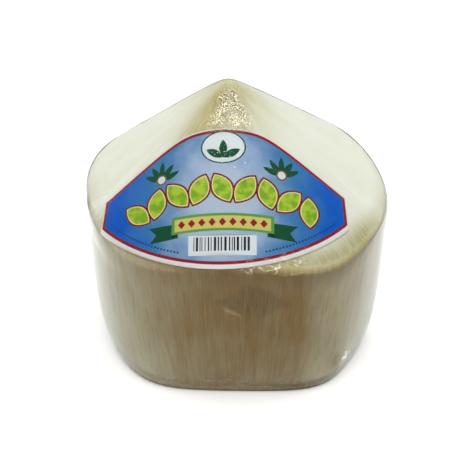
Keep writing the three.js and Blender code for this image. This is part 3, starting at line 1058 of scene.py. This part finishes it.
def fold_glint_share(finish, place, strand, crumpled, fan):
    """White lines along folds, partly the haze of doubled film and partly painted highlight, small
    painted glints over the label, and the curled fold of the tuck painted white.
    """
    line = from_middle(finish, noise(finish, strand, 6, 2.6, shift=9))
    below_fan = rise(finish, fan, 0.3, 0.0)
    fold_glints = times(finish, rise(finish, line, 0.025, 0.005, 0, 0.6), crumpled, below_fan)
    spark = rise(finish, noise(finish, place, 0.55, detail=1, shift=23), 0.69, 0.74)
    over_label = rise(finish, stored(finish, "glint"), 0, 1, 0, 0.8)
    curl = from_middle(finish, noise(finish, strand, 1.7, 4.5, shift=3))
    tucked = times(finish, rise(finish, curl, 0.06, 0.01, 0.1, 0.9), stored(finish, "tuck"))
    share = maths(finish, "MAXIMUM", fold_glints, times(finish, spark, over_label))
    return maths(finish, "MAXIMUM", share, tucked)


def sparkle_share_and_colour(finish, place, along, fan):
    """Painted sparkle of the crumpled fan: pale flecks of painted highlight between straw ones of
    painted shade, which turn gold at the tip.
    """
    fleck = noise(finish, place, 0.45, shift=17)
    clump = rise(finish, noise(finish, place, 4, shift=41), 0.35, 0.6, 0.3, 1.0)
    between = rise(finish, from_middle(finish, fleck), 0.01, 0.06, 0, 0.92)
    dark = paint(finish, rise(finish, along, *GOLD_AT_TIP), FLECK_SHADE_STRAW, FLECK_SHADE_GOLD)
    colour = paint(finish, rise(finish, fleck, 0.46, 0.6), dark, FLECK_HIGHLIGHT)
    return times(finish, between, fan, clump), colour


def mix_shaders(finish, share, below, above):
    return node(finish, "MixShader", {0: share, 1: below.outputs[0], 2: above.outputs[0]})


def make_wrap_finish():
    finish = new_finish("clear_film")
    place = place_on_piece(finish)
    strand, along = strand_and_along(finish)
    crumpled = stored(finish, "crumple")
    fan = stored(finish, "fan")
    texture = film_texture(finish, place, crumpled)
    shine = film_shine(finish, texture, along, crumpled)
    clear = node(finish, "BsdfTransparent", {"Color": (1, 1, 1, 1)})
    gloss = node(finish, "BsdfGlossy", {"Roughness": FILM_ROUGHNESS, "Normal": texture})
    film = mix_shaders(finish, shine, clear, gloss)

    # Painted highlights: white diffuse film along folds, over the label and in the tuck's curl.
    folds = node(finish, "BsdfDiffuse", {"Color": (*FOLD_GLINT_WHITE, 1), "Normal": texture})
    film = mix_shaders(finish, fold_glint_share(finish, place, strand, crumpled, fan), film, folds)

    # Painted sparkle: flecks of painted highlight and painted shade on the crumpled fan.
    sparkle_share, sparkle_colour = sparkle_share_and_colour(finish, place, along, fan)
    flecks = node(finish, "BsdfDiffuse", {"Color": sparkle_colour, "Normal": texture})
    finish_with(finish, mix_shaders(finish, sparkle_share, film, flecks))
    return finish


wrap.data.materials.append(make_wrap_finish())
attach(wrap, "root")
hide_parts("wrap")


# ---- Studio ---------------------------------------------------------------------------------
# A wide floor of pale paper, a wide lamp overhead and a smaller one to each side, a little behind
# the nut. The camera stands well back with a long lens and looks down by 29 degrees.

FLOOR_HALF_SIDE = 3000
FLOOR_CORNERS = [(-1, -1, 0), (1, -1, 0), (1, 1, 0), (-1, 1, 0)]
FLOOR_WHITE = (0.93, 0.93, 0.93)
FLOOR_GREY = (0.88, 0.88, 0.88)
FLOOR_ROUGHNESS = 0.8
FLOOR_TONE_STEP = 0.4  # in metres, as the floor's noise is read in metres
LAMP_AIM = Vector((0, 0, 60))
DAYLIGHT = 1.25
CAMERA_ELEVATION = math.radians(29)
CAMERA_DISTANCE = 650
CAMERA_AIM = Vector((0.0, -1.4, 43.5))
CAMERA_LENS = 114.5


def make_floor_finish():
    finish = new_finish("studio_paper")
    place = node(finish, "TexCoord").outputs["Object"]
    tone = rise(finish, noise(finish, place, FLOOR_TONE_STEP), 0.3, 0.7, 0, 0.05)
    colour = paint(finish, tone, FLOOR_WHITE, FLOOR_GREY)
    paper = node(finish, "BsdfPrincipled", {"Base Color": colour, "Roughness": FLOOR_ROUGHNESS})
    finish_with(finish, paper)
    return finish


floor = add_piece("studio_floor", np.array(FLOOR_CORNERS) * FLOOR_HALF_SIDE, [(0, 1, 2, 3)])
floor.data.materials.append(make_floor_finish())


def add_lamp(name, place, side, power):
    light = bpy.data.lights.new(name, "AREA")
    light.shape = "RECTANGLE"
    light.size = side * MM
    light.size_y = side * MM
    light.energy = power
    lamp = bpy.data.objects.new(name, light)
    lamp.location = Vector(place) * MM
    lamp.rotation_euler = (LAMP_AIM * MM - lamp.location).to_track_quat("-Z", "Y").to_euler()
    bpy.context.scene.collection.objects.link(lamp)


add_lamp("overhead", (0, -150, 1100), side=1000, power=6)
add_lamp("left", (-900, 350, 300), side=500, power=1.5)
add_lamp("right", (900, 350, 300), side=500, power=1.5)

world = bpy.data.worlds.new("studio")
world.use_nodes = True
daylight = world.node_tree.nodes["Background"].inputs
daylight["Color"].default_value = (1, 1, 1, 1)
daylight["Strength"].default_value = DAYLIGHT
bpy.context.scene.world = world
bpy.context.scene.view_settings.view_transform = "Standard"

camera_data = bpy.data.cameras.new("camera")
camera_data.lens = CAMERA_LENS
camera = bpy.data.objects.new("camera", camera_data)
toward_camera = Vector((0, -math.cos(CAMERA_ELEVATION), math.sin(CAMERA_ELEVATION)))
camera.location = (CAMERA_AIM + toward_camera * CAMERA_DISTANCE) * MM
camera.rotation_euler = (-toward_camera).to_track_quat("-Z", "Y").to_euler()
bpy.context.scene.collection.objects.link(camera)
bpy.context.scene.camera = camera
